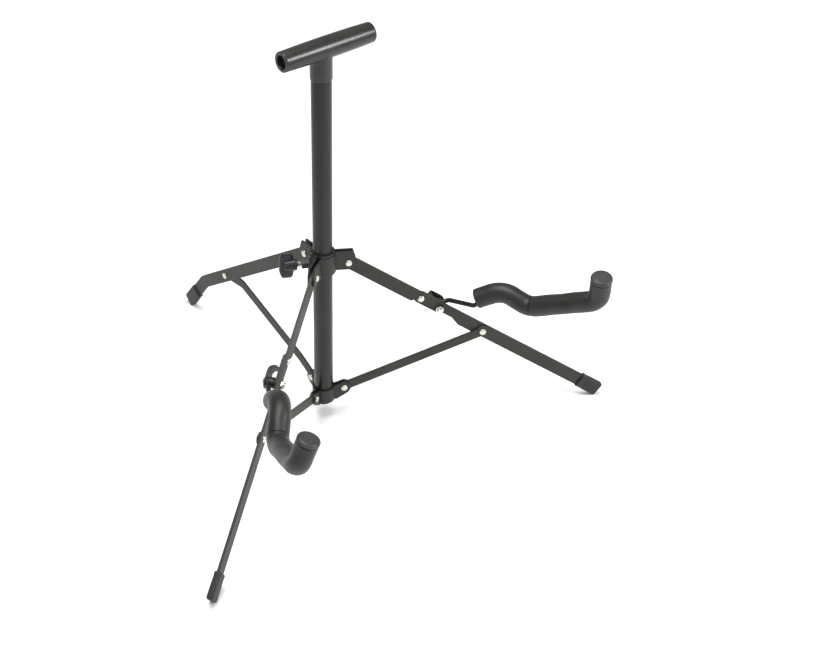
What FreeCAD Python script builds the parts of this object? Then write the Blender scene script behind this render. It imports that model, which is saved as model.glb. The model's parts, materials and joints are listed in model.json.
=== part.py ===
import FreeCAD, Part
import math
import os
import Sketcher
from FreeCAD import Vector

# Folding tripod stand for a guitar. +Z is up, the player stands at -Y, and the stand is
# nearly mirror-symmetric about X = 0. Millimetres and degrees. Every leg has its own frame:
# local X runs outwards, local Y sideways and local Z across the bar.

os.makedirs("parts", exist_ok=True)
doc = FreeCAD.newDocument("FoldingStand")
sheet = doc.addObject("Spreadsheet::Sheet", "Sizes")

driving_sizes = {
    # upright tube and handle
    "post_setback": -20.4, "post_radius": 10.0, "post_wall": 1.5, "post_bottom": 20.0,
    "plug_depth": 10.0, "handle_height": 431.0, "handle_left": 45.5, "handle_right": 58.4,
    "handle_end_radius": 9.9, "handle_mid_radius": 10.7, "recess_radius": 6.6, "recess_depth": 7.0,
    "boss_radius": 10.8, "boss_drop": 30.0, "socket_depth": 21.0,
    # how the legs stand
    "front_spread": 57.8, "hub_height": 193.4, "hub_reach": 26.3, "foot_height": 34.5,
    "foot_reach": 21.7, "front_slope": 34.1, "rear_slope": 35.7, "rear_knee": 246.3,
    "rear_knee_turn": 16.5, "rear_knee_radius": 26.0, "front_mid": 172.5, "rear_mid": 191.2,
    # bars, plates and rivets
    "bar_height": 14.4, "bar_thick": 2.8, "brace_height": 10.4, "brace_thick": 2.3,
    "side_gap": 0.3, "right_share": 0.75,
    "left_share": 0.0, "rear_share": 0.0, "brace_eye": 6.6, "rivet_radius": 2.5, "rivet_gap": 0.08, "head_radius": 3.6, "head_thick": 1.4,
    "crank_low": 5.0, "crank_low_run": 26.0, "crank_high": 11.3, "crank_high_run": 27.5,
    "crank_bend": 12.0,
    # sliding hub
    "slide_gap": 0.1, "bushing_wall": 1.5, "rim_thick": 2.8, "rim_lap": 0.9, "sheet_thick": 2.0,
    "ear_reach": 34.0, "ear_top": 13.6, "ear_bottom": 7.9, "ear_clip": 3.0,
    # fixed hub
    "band_bottom": 20.3, "band_top": 37.0, "tongue_radius": 6.9,
    # clamp screw
    "clamp_turn": 151.0, "clamp_rise": 2.2, "screw_radius": 3.0, "nut_radius": 5.6,
    "nut_length": 8.4, "knob_start": 26.4, "knob_length": 18.2, "knob_radius": 6.4,
    "wing_span": 30.0, "wing_thick": 6.0,
    # rubber feet
    "cap_length": 27.5, "rear_cap_length": 30.0, "cap_height": 16.6, "cap_thick": 7.6,
    "cap_round": 2.0, "cap_flat": 1.0, "cap_end_wall": 3.0,
    # arm brackets
    "arm_pivot": 115.6, "arm_bolt_radius": 2.6, "bracket_gap": 8.8, "bracket_sheet": 2.2,
    "bracket_back": 16.5, "tail_rivet": 24.0, "nut_across": 8.0, "nut_thick": 3.4,
    "bolt_head_radius": 4.3, "bolt_head_thick": 3.2, "notch_depth": 4.2, "notch_start": 83.0,
    "notch_end": 134.0, "notch_ramp": 14.0,
    # padded arms
    "rod_radius": 2.5, "eye_radius": 5.6, "eye_thick": 5.4, "foam_radius": 10.6,
    "arm_cap_radius": 10.9, "arm_cap_thick": 5.0, "arm_cap_round": 2.0,
    "crest_bend": 26.0, "seam_bend": 20.0, "tip_bend": 14.0,
    "neck_bend": 6.0, "neck_out": 11.0, "neck_up": 3.5,
    # route of each arm from its pivot bolt: outwards, sideways from the leg and upwards
    "right_under_out": 33.0, "right_under_side": -15.5, "right_under_up": 12.6,
    "right_end_out": 34.6, "right_end_side": -17.4, "right_end_up": 22.3,
    "right_crest_out": 60.0, "right_crest_side": -22.1, "right_crest_up": 34.8,
    "right_seam_out": 85.0, "right_seam_side": -40.4, "right_seam_up": 25.0,
    "right_tip_out": 144.6, "right_tip_side": -78.5, "right_tip_up": 55.2,
    "right_top_out": 143.3, "right_top_side": -84.1, "right_top_up": 87.4,
    "left_under_out": 39.5, "left_under_side": -7.5, "left_under_up": 6.5,
    "right_seam_share": 0.7, "left_seam_share": 0.18,
    "left_end_out": 42.8, "left_end_side": -10.8, "left_end_up": 14.8,
    "left_crest_out": 57.0, "left_crest_side": -25.4, "left_crest_up": 32.6,
    "left_seam_out": 95.3, "left_seam_side": -35.5, "left_seam_up": 11.3,
    "left_tip_out": 150.6, "left_tip_side": -77.8, "left_tip_up": 42.5,
    "left_top_out": 145.4, "left_top_side": -87.0, "left_top_up": 72.8,
}

for row, (word, value) in enumerate(driving_sizes.items(), start=1):
    sheet.set("A%d" % row, word)
    sheet.set("B%d" % row, str(value))
    sheet.setAlias("B%d" % row, word)
doc.recompute()

nodes = {}


def size(word):
    """The expression for a value of the sheet."""
    return "Sizes." + word


def number(expression):
    """What an expression of the sheet's values comes to."""
    found = sheet.evalExpression(str(expression).replace("Sizes.", ""))
    return float(getattr(found, "Value", found))


def place(x="0", y="0", z="0", yaw="0", pitch="0", roll="0"):
    """A placement expression: a point, then turns about Z, Y and X."""
    return ("placement(vector(%s; %s; %s); rotation(%s; %s; %s))"
            % (x, y, z, yaw, pitch, roll))


def around(yaw, x="0", y="0", z="0", roll="0", pitch="0"):
    """A placement expression in a frame turned by yaw about the post's axis."""
    return place("(%s) * cos(%s) - (%s) * sin(%s)" % (x, yaw, y, yaw),
                 "(%s) * sin(%s) + (%s) * cos(%s)" % (x, yaw, y, yaw), z, yaw, pitch, roll)


def primitive(kind, where, **sizes):
    """A Part primitive with its sizes and its placement bound to the sheet."""
    item = doc.addObject("Part::" + kind, kind)
    for name, expression in sizes.items():
        item.setExpression(name, str(expression))
    item.setExpression("Placement", where)
    return item


def box(where, length, width, height):
    return primitive("Box", where, Length=length, Width=width, Height=height)


def rod(where, radius, height):
    return primitive("Cylinder", where, Radius=radius, Height=height)


def pin_across(x, z, radius, y_from, y_to):
    """A cylinder along local Y from y_from to y_to."""
    return rod(place(x, y_from, z, roll="-90"), radius, "(%s) - (%s)" % (y_to, y_from))


def fuse(*items):
    joined = doc.addObject("Part::MultiFuse", "Fuse")
    joined.Shapes = list(items)
    return joined


def cut(base, *tools):
    result = doc.addObject("Part::Cut", "Cut")
    result.Base = base
    result.Tool = tools[0] if len(tools) == 1 else fuse(*tools)
    return result


def outline(corners, arc_radius=None):
    """A closed sketch whose corners are bound to the sheet. The side from the last corner
    to the first can be an arc of a given radius."""
    sketch = doc.addObject("Sketcher::SketchObject", "Outline")
    points = [Vector(number(x), number(y), 0) for x, y in corners]
    last = len(points) - 1
    for index, point in enumerate(points):
        if index == last and arc_radius:
            chord = points[0] - point
            middle = (points[0] + point) * 0.5
            reach = number(arc_radius)
            drop = math.sqrt(reach ** 2 - (chord.Length / 2) ** 2)
            centre = middle + Vector(chord.y, -chord.x, 0).normalize() * -drop
            start = math.atan2((point - centre).y, (point - centre).x)
            end = math.atan2((points[0] - centre).y, (points[0] - centre).x)
            circle = Part.Circle(centre, Vector(0, 0, 1), reach)
            sketch.addGeometry(Part.ArcOfCircle(circle, start, end), False)
        else:
            sketch.addGeometry(Part.LineSegment(point, points[(index + 1) % len(points)]), False)
    for index in range(len(points)):
        sketch.addConstraint(Sketcher.Constraint("Coincident", index, 2, (index + 1) % len(points), 1))
    for index, (x, y) in enumerate(corners):
        for kind, expression, value in (("DistanceX", x, points[index].x),
                                        ("DistanceY", y, points[index].y)):
            number_of = sketch.addConstraint(Sketcher.Constraint(kind, -1, 1, index, 1, value))
            sketch.setExpression("Constraints[%d]" % number_of, str(expression))
    if arc_radius:
        number_of = sketch.addConstraint(Sketcher.Constraint("Radius", last, number(arc_radius)))
        sketch.setExpression("Constraints[%d]" % number_of, arc_radius)
    return sketch


def slab(corners, y_from, thick, where=None):
    """A flat plate: an outline in local X and Z, extruded along local Y."""
    sketch = outline(corners)
    sketch.setExpression("Placement", place("0", y_from, "0", roll="90"))
    plate = doc.addObject("Part::Extrusion", "Slab")
    plate.Base = sketch
    plate.DirMode = "Custom"
    plate.Dir = Vector(0, 1, 0)
    plate.Solid = True
    plate.setExpression("LengthFwd", str(thick))
    if where:
        plate.setExpression("Placement", where)
    return plate


def node(name, item, where=None):
    """Name a finished sub-part and stand it in the row's frame."""
    x, y, z, turn = where or ("0", "0", "0", "rotation(0; 0; 0)")
    item.Label = name
    item.setExpression("Placement", "placement(vector(%s; %s + Sizes.post_setback; %s); %s)"
                       % (x, y, z, turn))
    nodes[name] = item


def solid_node(name, shape):
    """A sub-part whose shape is computed here, such as a bent rod."""
    item = doc.addObject("Part::Feature", name)
    item.Shape = shape
    node(name, item)


# --- frames -----------------------------------------------------------------

# Each leg lies beside its brace, on its local +Y face. share is how much of their sideways
# step the leg takes; far is the side of a front leg that carries the arm's bracket.
legs = {
    "front_right": {"yaw": "(Sizes.front_spread - 90)", "share": "Sizes.right_share",
                    "far": 1, "kind": "front"},
    "front_left": {"yaw": "(-90 - Sizes.front_spread)", "share": "Sizes.left_share",
                   "far": -1, "kind": "front"},
    "rear": {"yaw": "90", "share": "Sizes.rear_share", "kind": "rear"},
}
side_step = "(Sizes.bar_thick / 2 + Sizes.side_gap + Sizes.brace_thick / 2)"


def leg_shift(leg):
    """Sideways place of a leg's middle plane from the post's axis."""
    return "(%s * %s)" % (leg["share"], side_step)


def brace_shift(leg):
    """Sideways place of a brace's middle plane from the post's axis."""
    return "((%s - 1) * %s)" % (leg["share"], side_step)


def beside(yaw, reach, shift):
    """X and Y of a point at a given reach and sideways place."""
    return ("((%s) * cos(%s) - (%s) * sin(%s))" % (reach, yaw, shift, yaw),
            "((%s) * sin(%s) + (%s) * cos(%s))" % (reach, yaw, shift, yaw))


def leg_frame(leg):
    """Origin at the leg's hub rivet, X down along the bar."""
    yaw = leg["yaw"]
    slope = size(leg["kind"] + "_slope")
    x, y = beside(yaw, "Sizes.hub_reach", leg_shift(leg))
    return (x, y, "Sizes.hub_height", "rotation(%s; %s; 0)" % (yaw, slope))


def as_placement(frame):
    return "placement(vector(%s; %s; %s); %s)" % frame


def mid_point(leg):
    """Radius and height of the rivet that joins a leg to its brace."""
    slope = size(leg["kind"] + "_slope")
    along = size(leg["kind"] + "_mid")
    return ("(Sizes.hub_reach + %s * cos(%s))" % (along, slope),
            "(Sizes.hub_height - %s * sin(%s))" % (along, slope))


def brace_frame(leg):
    """Origin at the fixed hub's rivet, X up along the brace."""
    yaw = leg["yaw"]
    reach, height = mid_point(leg)
    rise = "atan2(%s - Sizes.foot_height; %s - Sizes.foot_reach)" % (height, reach)
    return ("Sizes.foot_reach * cos(%s)" % yaw, "Sizes.foot_reach * sin(%s)" % yaw,
            "Sizes.foot_height", "rotation(%s; -(%s); 0)" % (yaw, rise))


half_bar = "(Sizes.bar_thick / 2)"
bushing_outer = "(Sizes.post_radius + Sizes.slide_gap + Sizes.bushing_wall)"
upper_bore = bushing_outer
upper_gap = "(Sizes.bar_thick / 2 + Sizes.side_gap)"
lower_bore = "Sizes.post_radius"
lower_gap = "(Sizes.brace_thick / 2 + Sizes.side_gap)"
running_hole = "(Sizes.rivet_radius + Sizes.rivet_gap)"


# --- upright ----------------------------------------------------------------

def upright():
    post_top = "(Sizes.handle_height - Sizes.boss_drop + Sizes.socket_depth)"
    height = "(%s - Sizes.post_bottom)" % post_top
    outer = rod(place(z="Sizes.post_bottom"), "Sizes.post_radius", height)
    inner_radius = "Sizes.post_radius - Sizes.post_wall"
    inner = rod(place(z="Sizes.post_bottom"), inner_radius, height)
    node("post_tube", cut(outer, inner))

    plug = rod(place(z="Sizes.post_bottom"), inner_radius, "Sizes.plug_depth")
    flange = rod(place(z="Sizes.post_bottom - Sizes.sheet_thick"), "Sizes.post_radius",
                 "Sizes.sheet_thick")
    node("post_plug", fuse(plug, flange))

    length = "(Sizes.handle_left + Sizes.handle_right)"
    crown = "(Sizes.handle_mid_radius - Sizes.handle_end_radius)"
    arc = "((%s ^ 2 / 4 + %s ^ 2) / (2 * %s))" % (length, crown, crown)
    profile = outline([("-Sizes.handle_left", "Sizes.handle_end_radius"),
                       ("-Sizes.handle_left", "0"), ("Sizes.handle_right", "0"),
                       ("Sizes.handle_right", "Sizes.handle_end_radius")], arc)
    barrel = doc.addObject("Part::Revolution", "Barrel")
    barrel.Source = profile
    barrel.Axis = Vector(1, 0, 0)
    barrel.Base = Vector(0, 0, 0)
    barrel.Angle = 360
    barrel.Solid = True
    boss = rod(place(z="-Sizes.boss_drop"), "Sizes.boss_radius", "Sizes.boss_drop")
    socket = rod(place(z="-Sizes.boss_drop"), "Sizes.post_radius", "Sizes.socket_depth")
    left = rod(place("-Sizes.handle_left", pitch="90"), "Sizes.recess_radius", "Sizes.recess_depth")
    right = rod(place("Sizes.handle_right - Sizes.recess_depth", pitch="90"),
                "Sizes.recess_radius", "Sizes.recess_depth")
    node("t_handle", cut(fuse(barrel, boss), socket, left, right),
         ("0", "0", "Sizes.handle_height", "rotation(0; 0; 0)"))


# --- hubs -------------------------------------------------------------------

def hub_sheet(first, second, bore, bottom, top, gap, shifts, ear, holes):
    """One bent sheet of a hub: a band round the tube between two legs, and an ear beside
    each of them. ear gives the ear's corners, holes the rivet's place and radius."""
    side = "(Sizes.ear_reach + 10)"
    height = "(%s - %s)" % (top, bottom)
    overlap = "20"
    sweep = "(mod(%s - %s + 720; 360) + 2 * %s)" % (second["yaw"], first["yaw"], overlap)
    pie = primitive("Cylinder", place(z=bottom, yaw="%s - %s" % (first["yaw"], overlap)),
                    Radius="%s + Sizes.sheet_thick" % bore, Height=height, Angle=sweep)
    first_face = "(%s + %s)" % (shifts[0], gap)
    second_face = "(%s - %s)" % (shifts[1], gap)
    before = box(around(first["yaw"], "0", "%s - %s" % (first_face, side), "%s - 1" % bottom),
                 side, side, "%s + 2" % height)
    after = box(around(second["yaw"], "0", second_face, "%s - 1" % bottom),
                side, side, "%s + 2" % height)
    ears = []
    pins = []
    for leg, near, outward in ((first, first_face, 1), (second, second_face, -1)):
        start = near if outward > 0 else "(%s - Sizes.sheet_thick)" % near
        turned = place(yaw=leg["yaw"])
        pieces = [slab(ear["corners"], start, "Sizes.sheet_thick", turned)]
        if "disc" in ear:
            pieces.append(rod(around(leg["yaw"], holes[0], start, holes[1], roll="-90"),
                              ear["disc"], "Sizes.sheet_thick"))
        ears += pieces
        pins.append(rod(around(leg["yaw"], holes[0], "%s - 1" % start, holes[1], roll="-90"),
                        holes[2], "Sizes.sheet_thick + 2"))
    core = rod(place(z="%s - 30" % bottom), bore, "%s + 60" % height)
    return cut(fuse(cut(pie, before, after), *ears), core, *pins)


def rivet(low, high, x="0", z="0"):
    """A rivet from one sideways place to another, with a round head beyond each end."""
    return fuse(pin_across(x, z, "Sizes.rivet_radius", low, high),
                pin_across(x, z, "Sizes.head_radius", "(%s) - Sizes.head_thick" % low, low),
                pin_across(x, z, "Sizes.head_radius", high, "(%s) + Sizes.head_thick" % high))


def upper_hub():
    bottom = "(Sizes.hub_height - Sizes.ear_bottom)"
    top = "(Sizes.hub_height + Sizes.ear_top)"
    inner = "(%s - 0.5)" % upper_bore
    ear = {"corners": [(inner, bottom), ("Sizes.ear_reach - Sizes.ear_clip", bottom),
                       ("Sizes.ear_reach", "%s + Sizes.ear_clip" % bottom),
                       ("Sizes.ear_reach", "%s - 3 * Sizes.ear_clip" % top),
                       ("Sizes.ear_reach - Sizes.ear_clip", top), (inner, top)]}
    holes = ("Sizes.hub_reach", "Sizes.hub_height", "Sizes.rivet_radius")
    pairs = {"hub_plate_left": ("rear", "front_left"), "hub_plate_front": ("front_left", "front_right"),
             "hub_plate_right": ("front_right", "rear")}
    clamp_hole = rod(around("Sizes.clamp_turn", z="Sizes.hub_height + Sizes.clamp_rise", pitch="90"),
                     "Sizes.screw_radius + Sizes.rivet_gap", "40")
    for name, (first, second) in pairs.items():
        shifts = (leg_shift(legs[first]), leg_shift(legs[second]))
        plate = hub_sheet(legs[first], legs[second], upper_bore, bottom, top, upper_gap,
                          shifts, ear, holes)
        node(name, cut(plate, clamp_hole) if name == "hub_plate_left" else plate)

    rise = "(%s - %s)" % (top, bottom)
    sleeve = rod(place(z=bottom), bushing_outer, rise)
    rim = rod(place(z=top), "%s + Sizes.rim_lap" % bushing_outer, "Sizes.rim_thick")
    bore = rod(place(z="%s - 1" % bottom), "Sizes.post_radius + Sizes.slide_gap",
               "%s + Sizes.rim_thick + 2" % rise)
    port = rod(around("Sizes.clamp_turn", z="Sizes.hub_height + Sizes.clamp_rise", pitch="90"),
               "Sizes.screw_radius + Sizes.rivet_gap", "40")
    node("hub_bushing", cut(fuse(sleeve, rim), bore, port))

    half = "(%s + Sizes.sheet_thick)" % upper_gap
    for name, leg in legs.items():
        flat = leg_frame(leg)[:3] + ("rotation(%s; 0; 0)" % leg["yaw"],)
        node("hub_rivet_" + name, rivet("-" + half, half), flat)


def lower_hub():
    low_corner = "Sizes.foot_reach * 0.75"
    inner = "(%s - 0.5)" % lower_bore
    ear = {"corners": [(inner, "Sizes.band_bottom"), ("Sizes.post_radius + Sizes.sheet_thick + 2",
                                                      "Sizes.band_bottom"),
                       ("Sizes.foot_reach + 4", "Sizes.foot_height - Sizes.tongue_radius * 0.866"),
                       ("Sizes.foot_reach", "Sizes.foot_height + Sizes.tongue_radius"),
                       (low_corner, "Sizes.foot_height + Sizes.tongue_radius * 0.7"),
                       (inner, "Sizes.band_top")],
           "disc": "Sizes.tongue_radius"}
    holes = ("Sizes.foot_reach", "Sizes.foot_height", "Sizes.rivet_radius")
    pairs = {"base_plate_left": ("rear", "front_left"), "base_plate_front": ("front_left", "front_right"),
             "base_plate_right": ("front_right", "rear")}
    for name, (first, second) in pairs.items():
        shifts = (brace_shift(legs[first]), brace_shift(legs[second]))
        plate = hub_sheet(legs[first], legs[second], lower_bore, "Sizes.band_bottom",
                          "Sizes.band_top", lower_gap, shifts, ear, holes)
        node(name, plate)

    # The loop is opened here: each rivet is two short halves that leave the brace's slot free.
    for name, leg in legs.items():
        halves = []
        middle = brace_shift(leg)
        for sign in (-1, 1):
            inside = "(%s + %d * %s)" % (middle, sign, lower_gap)
            outside = "(%s + %d * Sizes.sheet_thick)" % (inside, sign)
            tip = "(%s + %d * Sizes.head_thick)" % (outside, sign)
            spans = [(inside, outside, "Sizes.rivet_radius"), (outside, tip, "Sizes.head_radius")]
            for near, far, radius in spans:
                low, high = (near, far) if sign > 0 else (far, near)
                halves.append(pin_across("Sizes.foot_reach", "Sizes.foot_height", radius, low, high))
        node("base_rivet_" + name, fuse(*halves), ("0", "0", "0", "rotation(%s; 0; 0)" % leg["yaw"]))


# --- clamp ------------------------------------------------------------------

def clamp():
    level = "Sizes.hub_height + Sizes.clamp_rise"
    frame = ("0", "0", level, "rotation(Sizes.clamp_turn; 0; 0)")
    wall = "(%s + Sizes.sheet_thick)" % upper_bore
    hexagon = primitive("Prism", place("%s - 0.4" % wall, pitch="90"), Circumradius="Sizes.nut_radius",
                        Height="Sizes.nut_length")
    hexagon.Polygon = 6
    band = rod(place(z="-50"), wall, "100")
    thread = rod(place(pitch="90"), "Sizes.screw_radius + Sizes.rivet_gap", "60")
    node("clamp_nut", cut(hexagon, band, thread), frame)

    tip = "(Sizes.post_radius + Sizes.slide_gap)"
    screw = rod(place(tip, pitch="90"), "Sizes.screw_radius", "Sizes.knob_start + 9 - %s" % tip)
    post = rod(place(z="-50"), tip, "100")
    node("clamp_screw", cut(screw, post), frame)

    knob = rod(place("Sizes.knob_start", pitch="90"), "Sizes.knob_radius", "Sizes.knob_length * 0.72")
    start = "(Sizes.knob_start + 3)"
    end = "(Sizes.knob_start + Sizes.knob_length)"
    half = "(Sizes.wing_span / 2)"
    wing = slab([(start, "-" + half), ("%s - 3" % end, "-" + half), (end, "-%s * 0.5" % half),
                 (end, "%s * 0.5" % half), ("%s - 3" % end, half), (start, half),
                 ("%s - 1" % start, "%s * 0.4" % half), ("%s - 1" % start, "-%s * 0.4" % half)],
                "-Sizes.wing_thick / 2", "Sizes.wing_thick")
    socket = rod(place("Sizes.knob_start - 1", pitch="90"), "Sizes.screw_radius", "10")
    node("wing_knob", cut(fuse(knob, wing), socket), frame)


# --- bent paths ---------------------------------------------------------------

def rounded_path(points, radii):
    """A wire of straight runs joined by tangent arcs."""
    edges = []
    here = points[0]
    for index in range(1, len(points) - 1):
        corner = points[index]
        back = (points[index - 1] - corner).normalize()
        ahead = (points[index + 1] - corner).normalize()
        half_turn = (math.pi - back.getAngle(ahead)) / 2
        reach = radii[index - 1] * math.tan(half_turn)
        start = corner + back * reach
        end = corner + ahead * reach
        inward = (back + ahead).normalize()
        middle = corner + inward * (radii[index - 1] / math.cos(half_turn) - radii[index - 1])
        edges.append(Part.LineSegment(here, start).toShape())
        edges.append(Part.Arc(start, middle, end).toShape())
        here = end
    edges.append(Part.LineSegment(here, points[-1]).toShape())
    return Part.Wire(edges)


def tube_along(path, radius):
    """A round bar swept along a path."""
    start = path.Edges[0].valueAt(path.Edges[0].FirstParameter)
    heading = path.Edges[0].tangentAt(path.Edges[0].FirstParameter)
    ring = Part.Wire([Part.Circle(start, heading, radius).toShape()])
    return path.makePipeShell([ring], True, False)


# --- legs -------------------------------------------------------------------

def bar_length(kind):
    """Length along the bar at which the rubber foot's corner reaches the floor."""
    slope = math.radians(number("Sizes.front_slope"))
    lean = slope
    height = number("Sizes.hub_height") + number("Sizes.cap_flat")
    if kind == "rear":
        slope = math.radians(number("Sizes.rear_slope"))
        lean = slope + math.radians(number("Sizes.rear_knee_turn"))
        height -= number("Sizes.rear_knee") * math.sin(slope)
    half = number("Sizes.cap_height") / 2
    return (height - half * math.cos(lean)) / math.sin(lean)


for kind in ("front", "rear"):
    row += 1
    sheet.set("A%d" % row, kind + "_run")
    sheet.set("B%d" % row, str(round(bar_length(kind), 4)))
    sheet.setAlias("B%d" % row, kind + "_run")
doc.recompute()


def front_bar():
    length = "(Sizes.front_run - Sizes.cap_end_wall)"
    strip = box(place("0", "-" + half_bar, "-Sizes.bar_height / 2"), length, "Sizes.bar_thick",
                "Sizes.bar_height")
    eye = pin_across("0", "0", "Sizes.bar_height / 2", "-" + half_bar, half_bar)
    low = "(-Sizes.bar_height / 2)"
    roof = "(%s + Sizes.notch_depth)" % low
    notch = slab([("Sizes.notch_start", "%s - 1" % low),
                  ("Sizes.notch_start + Sizes.notch_depth", roof), ("Sizes.notch_end", roof),
                  ("Sizes.notch_end + Sizes.notch_ramp", "%s - 1" % low)],
                 "-Sizes.bar_thick", "Sizes.bar_thick * 2")
    holes = [pin_across("0", "0", running_hole, "-5", "5"),
             pin_across("Sizes.front_mid", "0", "Sizes.rivet_radius", "-5", "5"),
             pin_across("Sizes.arm_pivot", "0", "Sizes.arm_bolt_radius", "-5", "5"),
             pin_across("Sizes.arm_pivot - Sizes.tail_rivet", "0", "Sizes.rivet_radius", "-5", "5")]
    return cut(fuse(strip, eye), notch, *holes)


def swept_bar(points, radii, height, thick, middle):
    """A flat bar on edge along a bent route in local X and Z, middle being its local Y."""
    path = rounded_path([Vector(x, middle, z) for x, z in points], radii)
    start = Vector(points[0][0], middle, points[0][1])
    ahead = Vector(points[1][0], middle, points[1][1]) - start
    along = ahead.normalize()
    upward = Vector(-along.z, 0, along.x)
    half_high = upward * (height / 2)
    half_thick = Vector(0, thick / 2, 0)
    corners = [start - half_high - half_thick, start - half_high + half_thick,
               start + half_high + half_thick, start + half_high - half_thick,
               start - half_high - half_thick]
    swept = doc.addObject("Part::Feature", "Bar")
    swept.Shape = path.makePipeShell([Part.makePolygon(corners)], True, False)
    return swept


def rear_bar():
    """The rear leg has one bend above its foot."""
    knee = number("Sizes.rear_knee")
    turn = math.radians(number("Sizes.rear_knee_turn"))
    run = number("Sizes.rear_run") - number("Sizes.cap_end_wall")
    points = [(0, 0), (knee, 0), (knee + run * math.cos(turn), -run * math.sin(turn))]
    bar = swept_bar(points, [number("Sizes.rear_knee_radius")], number("Sizes.bar_height"),
                    number("Sizes.bar_thick"), 0)
    eye = pin_across("0", "0", "Sizes.bar_height / 2", "-" + half_bar, half_bar)
    holes = [pin_across("0", "0", running_hole, "-5", "5"),
             pin_across("Sizes.rear_mid", "0", "Sizes.rivet_radius", "-5", "5")]
    return cut(fuse(bar, eye), *holes)


def rubber_foot(name, leg, kind):
    """A moulded cap with rounded edges, a slot for the bar and a flat where it stands."""
    body = doc.addObject("PartDesign::Body", "Foot")
    plane = [item for item in body.Origin.OriginFeatures if item.Role == "XZ_Plane"][0]
    sketch = body.newObject("Sketcher::SketchObject", "Side")
    sketch.AttachmentSupport = (plane, [""])
    sketch.MapMode = "FlatFace"
    length = "Sizes.cap_length" if kind == "front" else "Sizes.rear_cap_length"
    low_x = "(Sizes.%s_run - %s)" % (kind, length)
    high_x = "Sizes.%s_run" % kind
    half = "(Sizes.cap_height / 2)"
    corners = [(low_x, "-" + half), (high_x, "-" + half), (high_x, half), (low_x, half)]
    points = [Vector(number(x), number(z), 0) for x, z in corners]
    for index in range(4):
        sketch.addGeometry(Part.LineSegment(points[index], points[(index + 1) % 4]), False)
    for index in range(4):
        sketch.addConstraint(Sketcher.Constraint("Coincident", index, 2, (index + 1) % 4, 1))
    for index, (x, z) in enumerate(corners):
        for axis, expression, value in (("DistanceX", x, points[index].x),
                                        ("DistanceY", z, points[index].y)):
            bound = sketch.addConstraint(Sketcher.Constraint(axis, -1, 1, index, 1, value))
            sketch.setExpression("Constraints[%d]" % bound, expression)
    pad = body.newObject("PartDesign::Pad", "Block")
    pad.Profile = sketch
    pad.Midplane = True
    pad.setExpression("Length", "Sizes.cap_thick")
    doc.recompute()
    rounds = body.newObject("PartDesign::Fillet", "Rounds")
    rounds.Base = (pad, ["Edge%d" % (edge + 1) for edge in range(len(pad.Shape.Edges))])
    rounds.setExpression("Radius", "Sizes.cap_round")
    body.Tip = rounds
    slot = box(place("%s - 5" % low_x, "-" + half_bar, "-Sizes.bar_height / 2"),
               "%s + 5 - Sizes.cap_end_wall" % length, "Sizes.bar_thick", "Sizes.bar_height")
    cap = cut(body, slot)
    frame = leg_frame(leg)
    if kind == "rear":
        yaw = leg["yaw"]
        reach = "(Sizes.hub_reach + Sizes.rear_knee * cos(Sizes.rear_slope))"
        frame = (*beside(yaw, reach, leg_shift(leg)),
                 "Sizes.hub_height - Sizes.rear_knee * sin(Sizes.rear_slope)",
                 "rotation(%s; Sizes.rear_slope + Sizes.rear_knee_turn; 0)" % yaw)
    cap.setExpression("Placement", as_placement(frame))
    floor = box(place("-500", "-500", "-40"), "1000", "1000", "40")
    node(name, cut(cap, floor))


def legs_and_braces():
    for name, leg in legs.items():
        kind = leg["kind"]
        frame = leg_frame(leg)
        node("leg_" + name, front_bar() if kind == "front" else rear_bar(), frame)
        rubber_foot("foot_" + name, leg, kind)

        # The mid rivet is fast in the leg, and the brace turns on it.
        brace_face = "-(%s + Sizes.brace_thick / 2 + Sizes.side_gap)" % side_step
        node("mid_rivet_" + name, rivet(brace_face, half_bar, size(kind + "_mid")), frame)

        reach, height = mid_point(leg)
        span = "sqrt((%s - Sizes.foot_reach) ^ 2 + (%s - Sizes.foot_height) ^ 2)" % (reach, height)
        shift = brace_shift(leg)
        low_y = "(%s - Sizes.brace_thick / 2)" % shift
        high_y = "(%s + Sizes.brace_thick / 2)" % shift
        half = "Sizes.brace_height / 2"
        pieces = [pin_across("0", "0", half, low_y, high_y),
                  pin_across(span, "0", "Sizes.brace_eye", low_y, high_y)]
        if kind == "front":
            pieces.append(box(place("0", low_y, "-" + half), span, "Sizes.brace_thick",
                              "Sizes.brace_height"))
        else:
            # The rear brace is cranked upwards at both ends.
            long = number(span)
            points = [(0, 0), (number("Sizes.crank_low_run"), number("Sizes.crank_low")),
                      (long - number("Sizes.crank_high_run"), number("Sizes.crank_high")), (long, 0)]
            bend = number("Sizes.crank_bend")
            pieces.append(swept_bar(points, [bend, bend], number("Sizes.brace_height"),
                                    number("Sizes.brace_thick"), number(shift)))
        ends = [pin_across("0", "0", running_hole, "%s - 1" % low_y, "%s + 1" % high_y),
                pin_across(span, "0", running_hole, "%s - 1" % low_y, "%s + 1" % high_y)]
        node("brace_" + name, cut(fuse(*pieces), *ends), brace_frame(leg))


# --- padded arms --------------------------------------------------------------

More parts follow.
